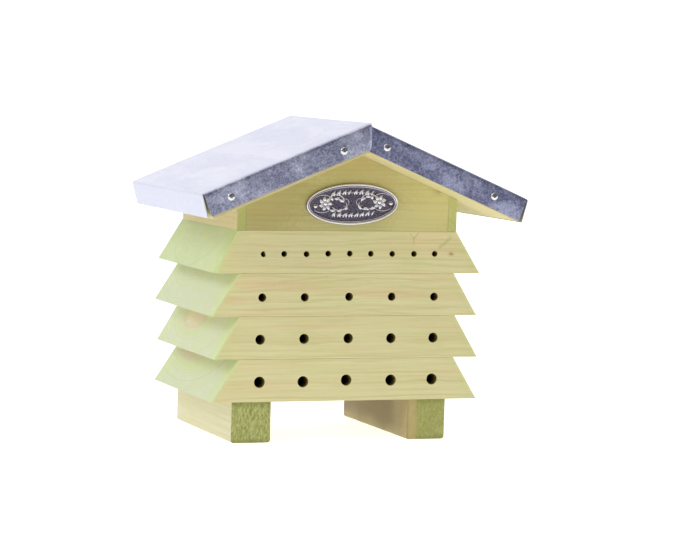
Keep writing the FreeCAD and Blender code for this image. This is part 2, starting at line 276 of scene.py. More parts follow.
# ------------------------------------------------------------------ node helpers
class Tree:
    """Short ways to build a material's node tree."""

    def __init__(self, name):
        self.mat = bpy.data.materials.new(name)
        self.mat.use_nodes = True
        self.nt = self.mat.node_tree
        self.nt.nodes.clear()
        self.out = self.nt.nodes.new("ShaderNodeOutputMaterial")
        self.bsdf = self.nt.nodes.new("ShaderNodeBsdfPrincipled")
        self.nt.links.new(self.bsdf.outputs[0], self.out.inputs["Surface"])

    def put(self, socket, value):
        if isinstance(value, bpy.types.NodeSocket):
            self.nt.links.new(value, socket)
        else:
            socket.default_value = value

    def math(self, op, a, b=0.0, c=None, clamp=False):
        n = self.nt.nodes.new("ShaderNodeMath")
        n.operation, n.use_clamp = op, clamp
        self.put(n.inputs[0], a)
        self.put(n.inputs[1], b)
        if c is not None:
            self.put(n.inputs[2], c)
        return n.outputs[0]

    def vec(self, op, a, b=(0, 0, 0), scale=None):
        n = self.nt.nodes.new("ShaderNodeVectorMath")
        n.operation = op
        self.put(n.inputs[0], a)
        if op not in ("LENGTH", "NORMALIZE", "SCALE"):
            self.put(n.inputs[1], b)
        if scale is not None:
            self.put(n.inputs["Scale"], scale)
        return n.outputs["Value"] if op in ("LENGTH", "DOT_PRODUCT", "DISTANCE") else n.outputs["Vector"]

    def xyz(self, v):
        n = self.nt.nodes.new("ShaderNodeSeparateXYZ")
        self.put(n.inputs[0], v)
        return n.outputs[0], n.outputs[1], n.outputs[2]

    def join(self, x, y, z):
        n = self.nt.nodes.new("ShaderNodeCombineXYZ")
        for s, v in zip(n.inputs, (x, y, z)):
            self.put(s, v)
        return n.outputs[0]

    def noise(self, v, scale=1.0, detail=2.0, rough=0.5, distort=0.0):
        n = self.nt.nodes.new("ShaderNodeTexNoise")
        n.inputs["Scale"].default_value = scale
        n.inputs["Detail"].default_value = detail
        n.inputs["Roughness"].default_value = rough
        n.inputs["Distortion"].default_value = distort
        self.put(n.inputs["Vector"], v)
        return n.outputs["Fac"]

    def voronoi(self, v, scale=1.0, feature="F1", out="Distance", random=1.0):
        n = self.nt.nodes.new("ShaderNodeTexVoronoi")
        n.feature = feature
        n.inputs["Scale"].default_value = scale
        n.inputs["Randomness"].default_value = random
        self.put(n.inputs["Vector"], v)
        return n.outputs[out]

    def step(self, v, lo, hi, to_lo=0.0, to_hi=1.0):
        n = self.nt.nodes.new("ShaderNodeMapRange")
        n.interpolation_type = "SMOOTHSTEP"
        self.put(n.inputs["Value"], v)
        n.inputs["From Min"].default_value = lo
        n.inputs["From Max"].default_value = hi
        n.inputs["To Min"].default_value = to_lo
        n.inputs["To Max"].default_value = to_hi
        return n.outputs["Result"]

    def mix(self, fac, a, b, blend="MIX"):
        n = self.nt.nodes.new("ShaderNodeMix")
        n.data_type, n.blend_type, n.clamp_factor = "RGBA", blend, True
        self.put(n.inputs["Factor"], fac)
        for s, v in ((n.inputs["A"], a), (n.inputs["B"], b)):
            pass
        self.put(n.inputs[6], a if not isinstance(a, tuple) else (*a, 1.0))
        self.put(n.inputs[7], b if not isinstance(b, tuple) else (*b, 1.0))
        return n.outputs[2]

    def bump(self, height, distance, strength=1.0):
        n = self.nt.nodes.new("ShaderNodeBump")
        n.inputs["Strength"].default_value = strength
        n.inputs["Distance"].default_value = distance
        self.put(n.inputs["Height"], height)
        return n.outputs["Normal"]


def lin(r, g, b):
    """sRGB bytes to linear."""
    return tuple((c / 255 / 12.92) if c / 255 <= 0.04045 else ((c / 255 + 0.055) / 1.055) ** 2.4 for c in (r, g, b))


def wood(name, axis, pith, ring=2.6, seed=0.0, base=(225, 218, 168), warm=(230, 206, 162), green=(208, 215, 150), line=(198, 180, 122),
         end=(205, 211, 181), end_line=(184, 196, 152), end_core=None, warm_amount=0.5, green_amount=0.5, line_amount=0.40,
         knots=(), strokes=(), speckle=0.0, dull=0.72, wander=9.0, body_shadow=None, streaks=1.0, arris=None, flatten=1.0, arris_highlight_tier=None):
    """Softwood with growth rings round a pith that runs along axis; the rings give the lines on the long faces and the arcs on the ends.

    axis: unit vector of the grain. pith: a point on it, mm. knots: (x, z, radius). strokes: (x0, z0, x1, z1, width, colour, amount).
    """
    t = Tree(name)
    geo = t.nt.nodes.new("ShaderNodeNewGeometry")
    tex = t.nt.nodes.new("ShaderNodeTexCoord")
    p = t.vec("SCALE", tex.outputs["Object"], scale=1000.0)
    g = Vector(axis).normalized()
    u = g.cross(Vector((0, 0, 1)) if abs(g.z) < 0.9 else Vector((0, 1, 0))).normalized()
    w = g.cross(u).normalized()
    q = t.vec("SUBTRACT", p, tuple(pith))
    along, a, b = t.vec("DOT_PRODUCT", q, tuple(g)), t.vec("DOT_PRODUCT", q, tuple(u)), t.vec("DOT_PRODUCT", q, tuple(w))
    s = seed * 13.7
    # the stem wanders along its length, and the rings are never quite round
    slow = t.join(t.math("MULTIPLY_ADD", along, 0.011, s), t.math("MULTIPLY", a, 0.020), t.math("MULTIPLY", b, 0.020))
    n1 = t.math("SUBTRACT", t.noise(slow, 1.0, 2.0, 0.5), 0.5)
    slow2 = t.join(t.math("MULTIPLY_ADD", along, 0.006, s + 40.0), t.math("MULTIPLY", a, 0.012), t.math("MULTIPLY", b, 0.012))
    n2 = t.math("SUBTRACT", t.noise(slow2, 1.0, 1.0, 0.5), 0.5)
    a2 = t.math("MULTIPLY_ADD", n1, wander * 0.8 * flatten, t.math("MULTIPLY", a, flatten))
    b2 = t.math("MULTIPLY_ADD", n2, wander, b)
    r = t.math("SQRT", t.math("ADD", t.math("MULTIPLY", a2, a2), t.math("MULTIPLY", b2, b2)))
    fine = t.join(t.math("MULTIPLY_ADD", along, 0.030, s), t.math("MULTIPLY", a, 0.16), t.math("MULTIPLY", b, 0.16))
    r = t.math("MULTIPLY_ADD", t.math("SUBTRACT", t.noise(fine, 1.0, 2.0, 0.6), 0.5), 1.6, r)
    turns = t.math("MULTIPLY", r, 1.0 / ring)
    # each ring is a little different in width and strength
    turns = t.math("MULTIPLY_ADD", t.math("SUBTRACT", t.noise(t.join(t.math("MULTIPLY", r, 0.16), s, 0.0), 1.0, 1.0), 0.5), 2.2, turns)
    frac = t.math("FRACT", turns)
    late = t.math("MULTIPLY", t.step(frac, 0.35, 0.9), t.step(frac, 1.0, 0.93))
    which = t.math("FLOOR", turns)
    strength = t.step(t.noise(t.join(t.math("MULTIPLY", which, 7.31), s, t.math("MULTIPLY", along, 0.01)), 1.0, 1.0), 0.30, 0.72)
    late = t.math("MULTIPLY", late, t.math("MULTIPLY_ADD", strength, 0.85, 0.15))
    # fibres, drawn out along the grain
    fib = t.join(t.math("MULTIPLY_ADD", along, 0.045, s), t.math("MULTIPLY", a, 1.5), t.math("MULTIPLY", b, 1.5))
    fibre = t.noise(fib, 1.0, 4.0, 0.62)
    hair = t.join(t.math("MULTIPLY_ADD", along, 0.16, s), t.math("MULTIPLY", a, 5.0), t.math("MULTIPLY", b, 5.0))
    hairs = t.noise(hair, 1.0, 2.0, 0.55)
    band = t.join(t.math("MULTIPLY_ADD", along, 0.0075, s + 9.0), t.math("MULTIPLY", a, 0.10), t.math("MULTIPLY", b, 0.10))
    warmth = t.step(t.noise(band, 1.0, 3.0, 0.55), 0.44, 0.68)
    patch = t.noise(t.vec("ADD", t.vec("MULTIPLY", p, (0.016, 0.02, 0.034)), (s + 3.0, s, 1.0)), 1.0, 3.0, 0.6)
    greens = t.step(patch, 0.34, 0.78)
    col = t.mix(t.math("MULTIPLY", warmth, warm_amount), lin(*base), lin(*warm))
    col = t.mix(t.math("MULTIPLY", greens, green_amount), col, lin(*green))
    col = t.mix(t.math("MULTIPLY", late, line_amount), col, lin(*line))
    streak = t.noise(t.join(t.math("MULTIPLY_ADD", along, 0.009, s + 60.0), t.math("MULTIPLY", a, 0.42), t.math("MULTIPLY", b, 0.42)), 1.0, 3.0, 0.6)
    col = t.mix(t.math("MULTIPLY", t.step(streak, 0.42, 0.74), 0.22 * streaks), col, lin(190, 174, 108))
    col = t.mix(t.math("MULTIPLY", t.step(streak, 0.50, 0.28), 0.15 * streaks), col, lin(236, 230, 190))
    col = t.mix(t.math("MULTIPLY", t.step(fibre, 0.35, 0.72), 0.16 * streaks), col, lin(184, 172, 104))
    col = t.mix(t.math("MULTIPLY", t.step(hairs, 0.50, 0.78), 0.14), col, lin(238, 232, 186))
    # end grain drinks the green preservative, and shows the rings as arcs
    facing = t.math("ABSOLUTE", t.vec("DOT_PRODUCT", geo.outputs["True Normal"], tuple(g)))
    ends = t.step(facing, 0.30, 0.55)
    pores = t.noise(t.vec("SCALE", p, scale=2.4), 1.0, 3.0, 0.65)
    ec = t.mix(t.math("MULTIPLY", late, 0.42), lin(*end), lin(*end_line))
    if end_core:
        core, reach = end_core
        near = t.step(r, reach * 0.30, reach * 1.1, 1.0, 0.0)
        ec = t.mix(t.math("MULTIPLY", near, 0.75), ec, lin(*core))
        # one reddish ring, and one greener, round the pale heart
        red = t.math("MULTIPLY", t.step(r, reach * 0.60, reach * 0.90), t.step(r, reach * 1.25, reach * 0.95))
        ec = t.mix(t.math("MULTIPLY", red, 0.38), ec, lin(214, 186, 156))
        grn = t.math("MULTIPLY", t.step(r, reach * 1.10, reach * 1.35), t.step(r, reach * 1.8, reach * 1.4))
        ec = t.mix(t.math("MULTIPLY", grn, 0.45), ec, lin(200, 214, 150))
    blot = t.noise(t.vec("ADD", t.vec("SCALE", p, scale=0.045), (s, 0.0, s)), 1.0, 3.0, 0.55)
    ec = t.mix(t.math("MULTIPLY", t.step(blot, 0.48, 0.72), 0.10 if speckle else 0.40), ec, lin(*green))
    ec = t.mix(t.math("MULTIPLY", t.step(pores, 0.46, 0.70), 0.20 + 0.5 * speckle), ec, lin(*end_line))
    if speckle:
        grit = t.noise(t.join(*[t.math("MULTIPLY", c, k) for c, k in zip(t.xyz(p), (1.1, 0.6, 0.45))]), 1.0, 4.0, 0.75)
        ec = t.mix(t.math("MULTIPLY", t.step(grit, 0.50, 0.66), 0.62 * speckle), ec, lin(222, 222, 150))
        ec = t.mix(t.math("MULTIPLY", t.step(grit, 0.48, 0.34), 0.62 * speckle), ec, lin(118, 128, 62))
    if arris:
        # the preservative sits deeper along the end's front arris and is rubbed thin in its middle
        _, ay, _ = t.xyz(p)
        fade = t.math("MULTIPLY_ADD", t.math("SUBTRACT", blot, 0.5), 26.0, ay)
        ec = t.mix(t.math("MULTIPLY", t.step(fade, FRONT + 26.0, FRONT + 2.0), 0.55), ec, lin(*arris))
        ec = t.mix(t.math("MULTIPLY", t.step(fade, BACK - 26.0, BACK - 2.0), 0.30), ec, lin(*arris))
        streaky = t.noise(t.join(1.0, t.math("MULTIPLY", ay, 0.07), t.math("MULTIPLY_ADD", t.xyz(p)[2], 0.16, s)), 1.0, 4.0, 0.65)
        ec = t.mix(t.math("MULTIPLY", t.step(streaky, 0.50, 0.72), 0.30), ec, lin(*arris))
        ec = t.mix(t.math("MULTIPLY", t.step(streaky, 0.46, 0.28), 0.30), ec, lin(226, 226, 206))
    if speckle:
        # long vertical fibres torn up by the saw; the top band of the cut is painted shade under the tier, and the cut
        # is darker along its bottom edge as well
        fx, fy, fz = t.xyz(p)
        tear = t.noise(t.join(t.math("MULTIPLY", fx, 0.60), fy, t.math("MULTIPLY", fz, 0.20)), 1.0, 3.0, 0.70)
        ec = t.mix(t.math("MULTIPLY", t.step(tear, 0.50, 0.60), 0.80 * speckle), ec, lin(210, 212, 134))
        ec = t.mix(t.math("MULTIPLY", t.step(tear, 0.49, 0.38), 0.75 * speckle), ec, lin(116, 126, 62))
        # painted shade: the top of the foot's end is darkened where the tier above shades it; the bottom edge is
        # darkened too
        rim = t.math("MAXIMUM", t.step(fz, 29.0, 35.0), t.step(fz, 5.0, 0.5))
        ec = t.mix(t.math("MULTIPLY", rim, 0.45), ec, lin(120, 130, 66))
        tear2 = t.noise(t.join(t.math("MULTIPLY", fx, 0.20), fy, t.math("MULTIPLY", fz, 0.07)), 1.0, 2.0, 0.5)
        ec = t.mix(t.math("MULTIPLY", t.step(tear2, 0.50, 0.68), 0.35 * speckle), ec, lin(128, 138, 70))
    col = t.mix(ends, col, ec)
    if arris:
        # painted highlight: the long faces' own bevelled edge along the sawn ends is painted greener and paler, as if
        # the arris caught the light
        lean = t.math("MULTIPLY", t.step(facing, 0.10, 0.22), t.step(facing, 0.50, 0.32))
        col = t.mix(t.math("MULTIPLY", lean, 0.7), col, lin(214, 216, 150))
    px, py, pz = t.xyz(p)
    if arris_highlight_tier is not None:
        # painted highlight: a narrow paler band of the front face along the sawn ends stands in for light caught on the
        # arris; a wider, faint greener band lies beside it
        bl, br, tl, tr = TIER_ENDS[arris_highlight_tier]
        low = FOOT_H + arris_highlight_tier * TIER_H
        rise = t.math("MULTIPLY", t.math("SUBTRACT", pz, low), 1.0 / TIER_H)
        for x_low, x_high, way in ((bl, tl, 1.0), (br, tr, -1.0)):
            line_x = t.math("MULTIPLY_ADD", rise, x_high - x_low, x_low)
            gap = t.math("MULTIPLY", t.math("SUBTRACT", px, line_x), way)
            gap = t.math("MULTIPLY_ADD", t.math("SUBTRACT", t.noise(t.vec("SCALE", p, scale=0.22), 1.0, 3.0, 0.6), 0.5), 3.0, gap)
            near = t.math("MULTIPLY", t.step(gap, 2.6, 1.2), t.step(facing, 0.5, 0.2))
            col = t.mix(t.math("MULTIPLY", near, 0.50), col, lin(224, 224, 164))
            wide = t.math("MULTIPLY", t.step(gap, 16.0, 3.0), t.step(facing, 0.5, 0.2))
            col = t.mix(t.math("MULTIPLY", wide, 0.16), col, lin(206, 214, 142))
    front = t.step(py, FRONT + 30.0, FRONT + 12.0)
    for kx, kz, kr in knots:
        dx = t.math("MULTIPLY", t.math("SUBTRACT", px, kx), 0.62)
        dz = t.math("SUBTRACT", pz, kz)
        d = t.math("SQRT", t.math("ADD", t.math("MULTIPLY", dx, dx), t.math("MULTIPLY", dz, dz)))
        d = t.math("MULTIPLY_ADD", t.math("SUBTRACT", t.noise(t.vec("SCALE", p, scale=0.5), 1.0, 2.0), 0.5), kr * 0.9, d)
        col = t.mix(t.math("MULTIPLY", t.math("MULTIPLY", t.step(d, kr * 2.6, kr * 0.8), front), 0.38), col, lin(186, 156, 92))
        col = t.mix(t.math("MULTIPLY", t.math("MULTIPLY", t.step(d, kr * 1.1, kr * 0.35), front), 0.60), col, lin(130, 98, 56))
    for x0, z0, x1, z1, width, colour, amount in strokes:
        ab = Vector((x1 - x0, 0, z1 - z0))
        pa = t.vec("MULTIPLY", t.vec("SUBTRACT", p, (x0, 0.0, z0)), (1.0, 0.0, 1.0))
        h = t.math("MULTIPLY", t.vec("DOT_PRODUCT", pa, tuple(ab)), 1.0 / ab.length_squared, clamp=True)
        nn = t.nt.nodes.new("ShaderNodeVectorMath")
        nn.operation = "SCALE"
        nn.inputs[0].default_value = tuple(ab)
        t.nt.links.new(h, nn.inputs["Scale"])
        d = t.vec("LENGTH", t.vec("SUBTRACT", pa, nn.outputs["Vector"]))
        d = t.math("MULTIPLY_ADD", t.math("SUBTRACT", t.noise(t.vec("SCALE", p, scale=0.35), 1.0, 3.0, 0.6), 0.5), width * 1.1, d)
        col = t.mix(t.math("MULTIPLY", t.math("MULTIPLY", t.step(d, width, width * 0.2), front), amount), col, lin(*colour))
    if body_shadow:
        # painted shadow: the sides under the body are painted a darker brown towards the top, more so further back and
        # on the faces turned left, standing in for the body's shadow
        colour, z_lo, z_hi, amount = body_shadow
        reach = t.math("MULTIPLY_ADD", t.math("SUBTRACT", t.noise(t.vec("SCALE", p, scale=0.03), 1.0, 2.0), 0.5), 14.0, pz)
        nx, _, _ = t.xyz(geo.outputs["True Normal"])
        back = t.math("MULTIPLY", t.step(py, FOOT_FRONT - 4.0, FOOT_FRONT + 46.0, 0.35, 1.0), t.step(nx, 0.2, -0.6, 0.15, 1.0))
        col = t.mix(t.math("MULTIPLY", t.math("MULTIPLY", t.math("MULTIPLY", t.step(reach, z_lo, z_hi), back), t.step(facing, 0.5, 0.2)), amount), col, lin(*colour))
    t.put(t.bsdf.inputs["Base Color"], col)
    rough = t.math("MULTIPLY_ADD", fibre, 0.16, dull - 0.08)
    t.put(t.bsdf.inputs["Roughness"], rough)
    t.bsdf.inputs["Specular IOR Level"].default_value = 0.28
    hgt = t.math("ADD", t.math("MULTIPLY", fibre, 0.55), t.math("MULTIPLY", late, -0.35))
    hgt = t.math("MULTIPLY_ADD", t.math("MULTIPLY", pores, ends), 0.6 + speckle, hgt)
    t.put(t.bsdf.inputs["Normal"], t.bump(hgt, 0.00018 + 0.0002 * speckle, 0.8))
    return t.mat


def tunnel_wall(name):
    """The inside of a drilled hole: torn, shaded fibres."""
    t = Tree(name)
    tex = t.nt.nodes.new("ShaderNodeTexCoord")
    p = t.vec("SCALE", tex.outputs["Object"], scale=1000.0)
    x, y, z = t.xyz(p)
    n = t.noise(t.join(t.math("MULTIPLY", x, 1.2), t.math("MULTIPLY", y, 0.35), t.math("MULTIPLY", z, 1.2)), 1.0, 3.0, 0.6)
    # painted shade: the wall is painted near black from just inside the mouth inwards
    depth_shade = t.step(y, FRONT + 1.0, FRONT + 16.0)
    col = t.mix(t.step(n, 0.35, 0.7), lin(156, 134, 74), lin(98, 82, 42))
    col = t.mix(depth_shade, col, lin(24, 17, 8))
    t.put(t.bsdf.inputs["Base Color"], col)
    t.bsdf.inputs["Roughness"].default_value = 0.9
    t.bsdf.inputs["Specular IOR Level"].default_value = 0.05
    t.put(t.bsdf.inputs["Normal"], t.bump(n, 0.0003, 0.8))
    return t.mat


def zinc(name, seed=0.0, rough=0.42, dark=(0.16, 0.168, 0.30), pale=(0.66, 0.685, 0.93), lift=0.0):
    """Galvanised sheet: pale on the slopes, where the paleness is a painted reflection of the light from above, and
    bluer with a mottled spangle on the upright gable flaps.
    """
    t = Tree(name)
    geo = t.nt.nodes.new("ShaderNodeNewGeometry")
    tex = t.nt.nodes.new("ShaderNodeTexCoord")
    p = t.vec("SCALE", tex.outputs["Object"], scale=1000.0)
    _, ny, _ = t.xyz(geo.outputs["True Normal"])
    upright = t.step(t.math("ABSOLUTE", ny), 0.45, 0.95)
    p = t.vec("ADD", p, (seed * 31.0, seed * 17.0, seed * 11.0))
    warp = t.vec("SCALE", t.join(t.noise(t.vec("SCALE", p, scale=0.5)), t.noise(t.vec("ADD", t.vec("SCALE", p, scale=0.5), (9.0, 2.0, 5.0))), 0.5), scale=1.6)
    q = t.vec("ADD", p, warp)
    cr, cg, cb = t.xyz(t.voronoi(q, 0.42, "F1", "Color"))
    c2, c3, _ = t.xyz(t.voronoi(q, 1.0, "F1", "Color"))
    cloud = t.noise(t.vec("MULTIPLY", p, (0.030, 0.012, 0.045)), 1.0, 4.0, 0.62, 0.4)
    fine = t.noise(t.vec("SCALE", p, scale=0.50), 1.0, 4.0, 0.75)
    grain = t.noise(t.vec("MULTIPLY", p, (1.0, 0.6, 1.6)), 1.0, 3.0, 0.7)
    tone = t.math("MULTIPLY", t.step(cloud, 0.38, 0.66), 0.50)
    tone = t.math("ADD", tone, t.math("MULTIPLY", t.math("SUBTRACT", cr, 0.5), 0.24))
    tone = t.math("ADD", tone, t.math("MULTIPLY", t.math("SUBTRACT", c2, 0.5), 0.22))
    tone = t.math("ADD", tone, t.math("MULTIPLY", t.math("SUBTRACT", t.step(fine, 0.35, 0.68), 0.5), 0.40))
    tone = t.math("ADD", tone, t.math("MULTIPLY", t.math("SUBTRACT", t.step(grain, 0.35, 0.68), 0.5), 0.38))
    tone = t.math("ADD", tone, 0.22 + lift, clamp=True)
    flap = t.mix(tone, dark, pale)
    scratch = t.noise(t.vec("MULTIPLY", p, (0.9, 0.05, 0.06)), 1.0, 3.0, 0.6)
    flap = t.mix(t.math("MULTIPLY", t.step(scratch, 0.60, 0.74), 0.45), flap, (0.78, 0.80, 0.90))
    # short pale rubs from handling
    rx, ry, rz = t.xyz(p)
    rub = t.noise(t.join(t.math("MULTIPLY_ADD", rz, 0.45, t.math("MULTIPLY", rx, 0.10)), ry, t.math("MULTIPLY_ADD", rx, 0.9, t.math("MULTIPLY", rz, -0.35))), 1.0, 3.0, 0.7)
    flap = t.mix(t.math("MULTIPLY", t.step(rub, 0.62, 0.74), 0.55), flap, (0.80, 0.82, 0.95))
    flat = t.mix(t.step(cloud, 0.36, 0.66), (0.62, 0.63, 0.745), (0.71, 0.715, 0.81))
    flat = t.mix(t.math("MULTIPLY", t.step(fine, 0.5, 0.75), 0.12), flat, (0.54, 0.56, 0.69))
    # painted shade: the eave flaps, turned near upright, are painted a touch darker than the slopes
    nx, _, nz = t.xyz(geo.outputs["True Normal"])
    eave_flap_shade = t.step(t.math("ABSOLUTE", nz), 0.60, 0.30)
    flat = t.mix(t.math("MULTIPLY", eave_flap_shade, 0.9), flat, (0.55, 0.565, 0.655))
    # painted reflection: faces turned up take the pale slope colour, upright faces take the darker mottled flap colour
    t.put(t.bsdf.inputs["Base Color"], t.mix(upright, flat, flap))
    t.bsdf.inputs["Metallic"].default_value = 1.0
    r = t.math("ADD", t.math("MULTIPLY", cg, 0.10), t.math("MULTIPLY_ADD", cloud, 0.14, rough - 0.08))
    t.put(t.bsdf.inputs["Roughness"], r)
    hgt = t.math("ADD", t.math("MULTIPLY", c3, 0.25), t.math("MULTIPLY", fine, 0.6))
    t.put(t.bsdf.inputs["Normal"], t.bump(hgt, 0.00006, 0.7))
    return t.mat


def steel(name, colour=(0.78, 0.77, 0.78), rough=0.22):
    """Bright plated screw metal with fine turning marks."""
    t = Tree(name)
    tex = t.nt.nodes.new("ShaderNodeTexCoord")
    p = t.vec("SCALE", tex.outputs["Object"], scale=1000.0)
    n = t.noise(p, 2.0, 3.0, 0.6)
    col = t.mix(t.step(n, 0.35, 0.7), tuple(c * 0.82 for c in colour), colour)
    t.put(t.bsdf.inputs["Base Color"], col)
    t.bsdf.inputs["Metallic"].default_value = 1.0
    t.put(t.bsdf.inputs["Roughness"], t.math("MULTIPLY_ADD", n, 0.14, rough - 0.05))
    t.put(t.bsdf.inputs["Normal"], t.bump(n, 0.00002, 0.6))
    return t.mat


def plaque_metal(name):
    """Cast plate: a dark recessed ground, bright where the relief stands up and is rubbed."""
    t = Tree(name)
    tex = t.nt.nodes.new("ShaderNodeTexCoord")
    p = t.vec("SCALE", tex.outputs["Object"], scale=1000.0)
    x, y, z = t.xyz(p)
    n = t.noise(p, 1.1, 4.0, 0.65)
    level = t.math("SUBTRACT", FRONT - PLAQUE_T, y)
    level = t.math("MULTIPLY_ADD", t.math("SUBTRACT", n, 0.5), 0.14, level)
    raised = t.step(level, 0.10, 0.38)
    ground = t.mix(t.step(n, 0.38, 0.62), lin(48, 38, 56), lin(124, 118, 140))
    col = t.mix(raised, ground, lin(240, 238, 244))
    t.put(t.bsdf.inputs["Base Color"], col)
    t.put(t.bsdf.inputs["Metallic"], t.math("MULTIPLY_ADD", raised, 0.35, 0.55))
    t.put(t.bsdf.inputs["Roughness"], t.math("MULTIPLY_ADD", raised, -0.12, 0.42))
    t.put(t.bsdf.inputs["Normal"], t.bump(n, 0.00008, 0.7))
    return t.mat


# ------------------------------------------------------------------ materials
X, Y = (1, 0, 0), (0, 1, 0)
GREENISH, BROWN = (150, 160, 80), (150, 112, 66)
GREEN_END = (200, 216, 150)
pine_bottom = wood("pine_bottom", X, (0, 62.0, 80.0), ring=2.6, flatten=0.38, seed=1.0, arris_highlight_tier=0, end_core=((222, 200, 176), 19.0), warm_amount=0.45, green_amount=0.30, arris=GREEN_END)
pine_lower = wood("pine_lower", X, (0, 42.0, 98.0), ring=2.6, flatten=0.38, seed=2.0, arris_highlight_tier=1, end_core=((224, 202, 178), 11.0), warm_amount=0.50, green_amount=0.30, arris=GREEN_END)
pine_upper = wood("pine_upper", X, (0, 60.0, 196.0), ring=2.6, seed=3.0, arris_highlight_tier=2, warm_amount=0.85, green_amount=0.35, arris=GREEN_END,
                  strokes=((-62.0, 136.6, -20.0, 140.6, 1.7, (218, 184, 136), 0.42), (-20.0, 140.6, 20.0, 137.2, 1.5, (216, 186, 138), 0.30),
                           (-96.0, 131.0, -66.0, 133.5, 1.5, (216, 186, 138), 0.28)))
pine_top = wood("pine_top", X, (0, 30.0, 232.0), ring=2.8, seed=4.0, arris_highlight_tier=3, warm_amount=0.55, green_amount=0.75, end=(200, 211, 170), end_line=(182, 198, 142), arris=(188, 208, 132),
                knots=((93.3, 160.4, 1.2),),
                strokes=((58.6, 168.0, 58.5, 173.4, 0.9, GREENISH, 0.34), (58.5, 173.4, 55.0, 177.6, 0.8, GREENISH, 0.28),
                         (58.5, 173.4, 62.4, 178.2, 0.9, GREENISH, 0.36), (82.8, 166.4, 92.2, 174.0, 2.2, (160, 176, 104), 0.34)))
pine_foot = wood("pine_foot", Y, (-50.0, 0.0, 60.0), ring=3.0, seed=5.0, base=(204, 202, 176), warm=(212, 198, 168), green=(196, 198, 150), line=(198, 186, 146),
                 line_amount=0.4, end=(176, 178, 112), end_line=(150, 156, 88), speckle=0.7, green_amount=0.25)
# painted shadow: the right foot's sides are painted darker towards the top, under the body
pine_foot_right = wood("pine_foot_right", Y, (110.0, 0.0, -20.0), ring=3.0, seed=6.0, base=(204, 198, 164), warm=(206, 190, 158), green=(190, 192, 142), line=(194, 180, 138),
                       line_amount=0.4, end=(168, 168, 100), end_line=(150, 152, 84), speckle=0.30, green_amount=0.3,
                       strokes=((62.5, -10.0, 61.5, 45.0, 8.0, (196, 174, 122), 0.75), (58.5, -10.0, 58.5, 45.0, 2.0, (150, 128, 92), 0.4)),
                       body_shadow=((124, 108, 88), -14.0, 16.0, 0.85))
# the gable's strokes are painted light: the broad dark patch at the left is painted shadow of the left roof overhang,
# the band under the ridge is painted shade under the roof, and the pale patch at the lower right is painted light
pine_gable = wood("pine_gable", X, (0, 10.0, 330.0), ring=3.3, seed=7.0, base=(198, 190, 130), warm=(204, 180, 122), green=(186, 192, 122), line=(170, 152, 90),
                  warm_amount=0.50, green_amount=0.35, line_amount=0.36, streaks=0.75, knots=((79.4, 213.6, 2.6),),
                  strokes=((-88.0, 186.0, -62.0, 212.0, 46.0, (158, 150, 94), 0.42), (-20.0, 238.0, 30.0, 238.0, 24.0, (174, 154, 98), 0.28),
                           (58.0, 186.0, 84.0, 200.0, 36.0, (216, 208, 146), 0.50)))
pine_gable_back = wood("pine_gable_back", X, (0, 150.0, 120.0), ring=3.3, seed=8.0)
pine_side = wood("pine_side", Y, (-60.0, 0.0, 150.0), ring=3.4, seed=9.0, base=(203, 190, 150), warm=(206, 184, 148), green=(192, 188, 138), line=(184, 162, 118),
                 end=(182, 186, 116), end_line=(162, 168, 96), warm_amount=0.7, green_amount=0.2)
pine_side_right = wood("pine_side_right", Y, (60.0, 0.0, 150.0), ring=3.4, seed=10.0, base=(228, 214, 160), end=(192, 192, 124), end_line=(170, 174, 104))
pine_roof_left = wood("pine_roof_left", (-COS, 0, -SIN), (0, 40.0, 330.0), ring=4.0, seed=11.0, base=(222, 212, 164), warm=(224, 202, 154), green=(206, 204, 146),
                      line=(206, 178, 112), end=(214, 204, 150))
pine_roof_right = wood("pine_roof_right", (COS, 0, -SIN), (0, -60.0, 330.0), ring=4.0, seed=12.0, base=(222, 212, 164), warm=(224, 202, 154), green=(206, 204, 146),
                       line=(206, 178, 112), end=(214, 204, 150))
tunnel = tunnel_wall("tunnel_wall")
zinc_left = zinc("zinc_left", 1.0, dark=(0.20, 0.21, 0.35), pale=(0.80, 0.82, 1.0), lift=0.07)
zinc_right = zinc("zinc_right", 2.0)
zinc_cut = steel("zinc_cut_edge", (0.88, 0.89, 0.93), 0.34)
screw_metal = steel("screw_bright")
# painted shade: the cross recesses of the screw heads take a dark metal, standing in for the shade inside them
recess_shade_metal = steel("screw_recess", (0.30, 0.27, 0.25), 0.45)
plaque_mat = plaque_metal("plaque_metal")

# ------------------------------------------------------------------ wood pieces
tier_mats = [pine_bottom, pine_lower, pine_upper, pine_top]
for i, name in enumerate(("bottom", "lower", "upper", "top")):
    bl, br, tl, tr = TIER_ENDS[i]
    z0 = FOOT_H + i * TIER_H + 0.02
    z1 = FOOT_H + (i + 1) * TIER_H - 0.02
    r, places = TUNNELS[i]
    holes = [(r, x, z, 0.55 if (i == 3 and k == 0) else 0.0) for k, (x, z) in enumerate(places)]
    def sawn(x, y, z, z0=z0, tl=tl):
        # the top tier's left end is out of wind: its back top corner stands further in
        f = min(1.0, max(0.0, (-80.0 - x) / 20.0))
        return ((TOP_TIER_BACK_TL - tl) * f * (y - FRONT) / (BACK - FRONT) * (z - z0) / TIER_H, 0.0, 0.0)

    plank("tier_" + name, [(bl, z0), (br, z0), (tr, z1), (tl, z1)], FRONT, BACK, ["tier_block_" + name], [tier_mats[i], tunnel],
          bevel=0.13, end_bevel=0.5, wear=0.09, holes=holes, seed=1.0 + i, skew=sawn if i == 3 else None,
          worn=lambda x, y, z: 1.6 if (x < -90 and y < -55) else 1.0)


